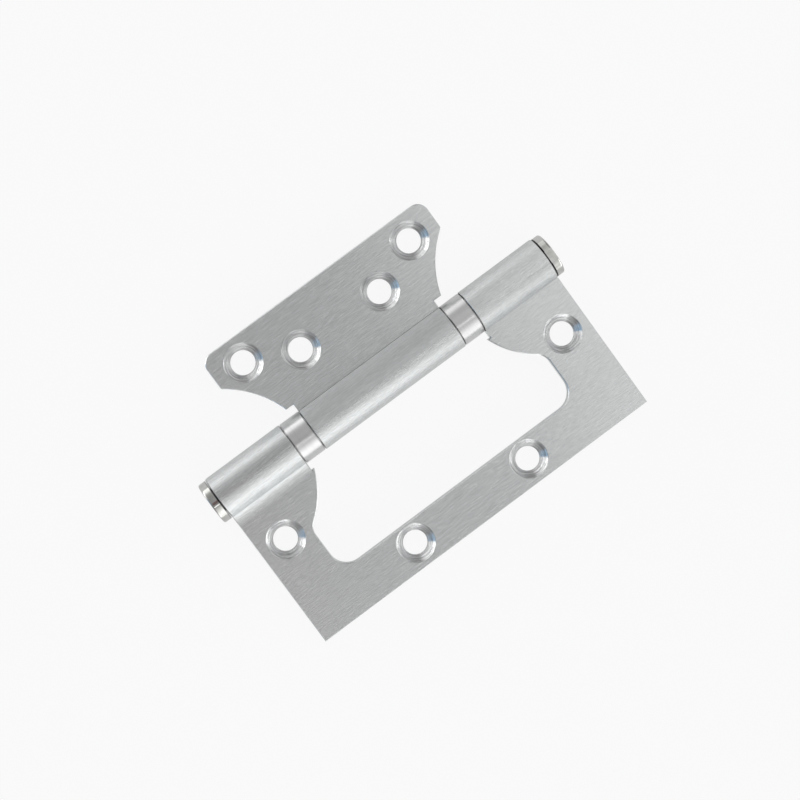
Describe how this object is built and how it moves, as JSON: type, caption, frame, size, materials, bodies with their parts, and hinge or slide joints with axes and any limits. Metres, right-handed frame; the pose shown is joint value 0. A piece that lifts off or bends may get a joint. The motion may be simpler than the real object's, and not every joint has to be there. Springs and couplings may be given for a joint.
{
  "type": "ball bearing hinge",
  "caption": "Flush butt hinge with ball bearings: a door leaf that nests in the cut-out of a frame leaf, countersunk screw holes, rolled barrel and a headed pin.",
  "frame": {"origin": "middle of the pin, on its axis, halfway along the barrel", "axes": "+X along the pin towards the capped end, +Y from the pin to the door leaf, +Z out of the countersunk faces with the hinge open flat"},
  "size_m": [0.1048, 0.0743, 0.0118],
  "materials": {
    "satin_steel": "satin, brushed along the barrel",
    "turned_steel": "fine turned",
    "polished_steel": "polished",
    "bearing_steel": "ground"
  },
  "bodies": {
    "frame": {"frame_leaf": "satin_steel", "hinge_pin": "polished_steel", "pin_cap": "polished_steel", "bearing_ring_lower": "turned_steel", "frame_race_lower": "bearing_steel", "bearing_ring_upper": "turned_steel", "frame_race_upper": "bearing_steel"},
    "door": {"door_leaf": "satin_steel", "door_race_lower": "bearing_steel", "door_race_upper": "bearing_steel"},
    "lower_cage": {"ball_cage_lower": "bearing_steel", "ball_lower_1": "bearing_steel", "ball_lower_2": "bearing_steel", "ball_lower_3": "bearing_steel", "ball_lower_4": "bearing_steel", "ball_lower_5": "bearing_steel", "ball_lower_6": "bearing_steel", "ball_lower_7": "bearing_steel", "ball_lower_8": "bearing_steel", "ball_lower_9": "bearing_steel", "ball_lower_10": "bearing_steel"},
    "upper_cage": {"ball_cage_upper": "bearing_steel", "ball_upper_1": "bearing_steel", "ball_upper_2": "bearing_steel", "ball_upper_3": "bearing_steel", "ball_upper_4": "bearing_steel", "ball_upper_5": "bearing_steel", "ball_upper_6": "bearing_steel", "ball_upper_7": "bearing_steel", "ball_upper_8": "bearing_steel", "ball_upper_9": "bearing_steel", "ball_upper_10": "bearing_steel"}
  },
  "joints": [
    {"name": "leaf_swing", "type": "hinge", "parent": "frame", "child": "door", "pos_m": [0, 0, 0], "axis": [1, 0, 0], "range_deg": [-180, 180]},
    {"name": "lower_cage_turn", "type": "hinge", "parent": "frame", "child": "lower_cage", "pos_m": [-0.02455, 0, 0], "axis": [1, 0, 0], "range_deg": [-90, 90]},
    {"name": "upper_cage_turn", "type": "hinge", "parent": "frame", "child": "upper_cage", "pos_m": [0.02455, 0, 0], "axis": [1, 0, 0], "range_deg": [-90, 90]}
  ],
  "couplings": [
    {"joint": "lower_cage_turn", "follows": "leaf_swing", "ratio": 0.5},
    {"joint": "upper_cage_turn", "follows": "leaf_swing", "ratio": 0.5}
  ]
}
